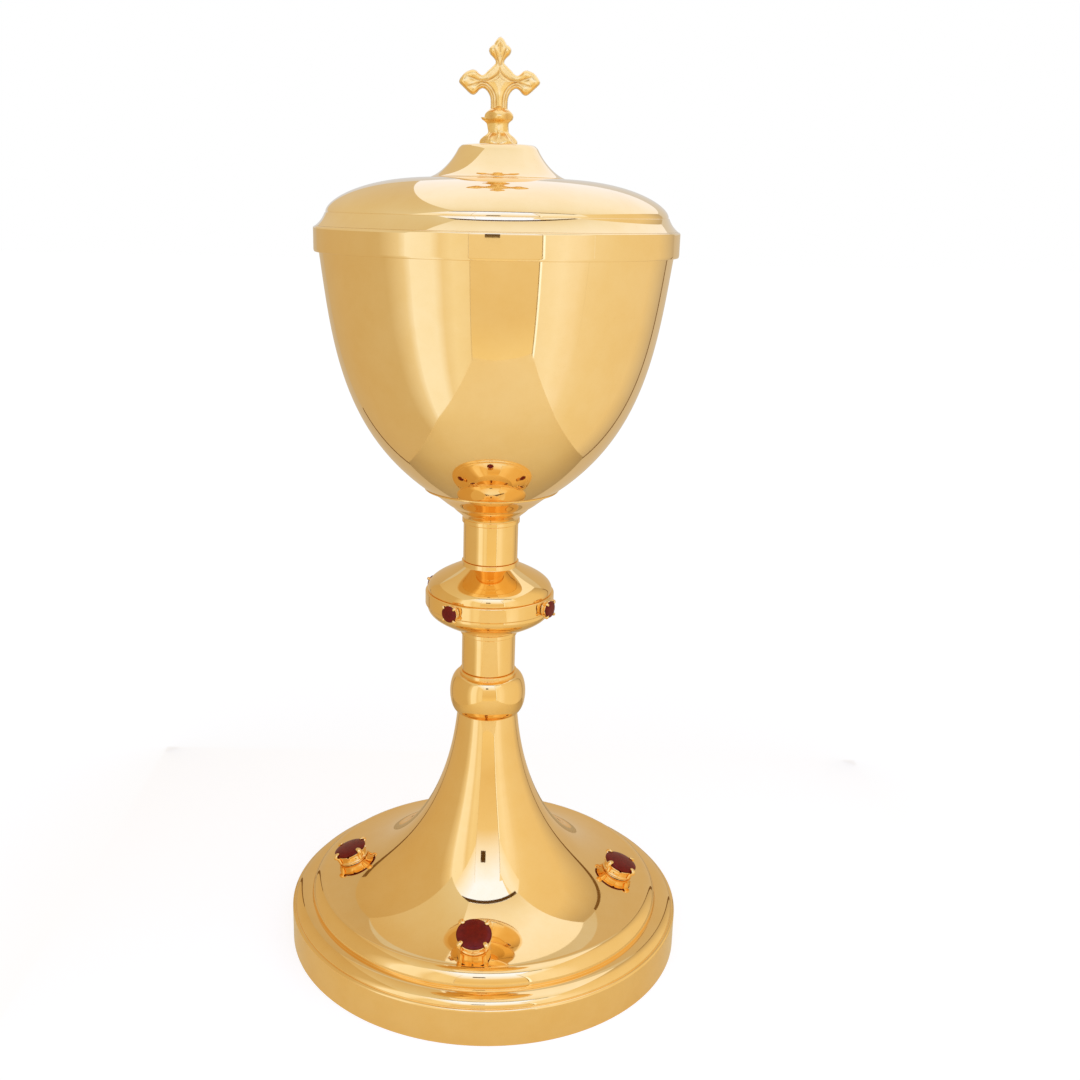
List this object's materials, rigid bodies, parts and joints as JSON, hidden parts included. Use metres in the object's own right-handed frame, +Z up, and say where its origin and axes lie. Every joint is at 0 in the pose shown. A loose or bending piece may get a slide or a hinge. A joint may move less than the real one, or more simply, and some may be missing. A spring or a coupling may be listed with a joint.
{
  "type": "ciborium",
  "caption": "Footed covered cup with a spun trumpet foot, turned knot and deep bowl, a lift-off domed lid with a budded cross, and domed red stones in claw settings.",
  "frame": {"origin": "on the surface it stands on, on the axis of the cup, under the middle of the foot", "axes": "+Z up along the axis of the cup; the cross lies in the XZ plane; -Y is the front"},
  "size_m": [0.148, 0.148, 0.325],
  "materials": {
    "gold": "polished, gold plated",
    "inner_gold": "satin, gold plated",
    "garnet": "polished, dark red, domed",
    "steel": "turned"
  },
  "bodies": {
    "cup_and_foot": {"foot_shell": "gold", "lower_bead": "gold", "lower_stem_tube": "gold", "knot_lower_half": "gold", "knot_band": "gold", "knot_upper_half": "gold", "upper_stem_tube": "gold", "bowl_collar": "gold", "bowl_boss": "steel", "cup_bowl": "gold", "tie_rod": "steel", "foot_washer": "steel", "foot_nut": "steel", "foot_collet_front": "gold", "foot_collet_right": "gold", "foot_collet_back": "gold", "foot_collet_left": "gold", "foot_stone_front": "garnet", "foot_stone_right": "garnet", "foot_stone_back": "garnet", "foot_stone_left": "garnet", "knot_collet_front_left": "gold", "knot_collet_front_right": "gold", "knot_collet_back_right": "gold", "knot_collet_back_left": "gold", "knot_stone_front_left": "garnet", "knot_stone_front_right": "garnet", "knot_stone_back_right": "garnet", "knot_stone_back_left": "garnet"},
    "lid": {"lid_band": "gold", "lid_flange": "inner_gold", "lid_shell": "gold", "lid_knob": "gold", "cross": "gold", "cross_stud": "steel", "lid_washer": "steel", "lid_nut": "steel"}
  },
  "joints": [
    {"name": "lid_lift", "type": "slide", "parent": "cup_and_foot", "child": "lid", "axis": [0, 0, 1], "range_m": [0, 0.08]}
  ]
}
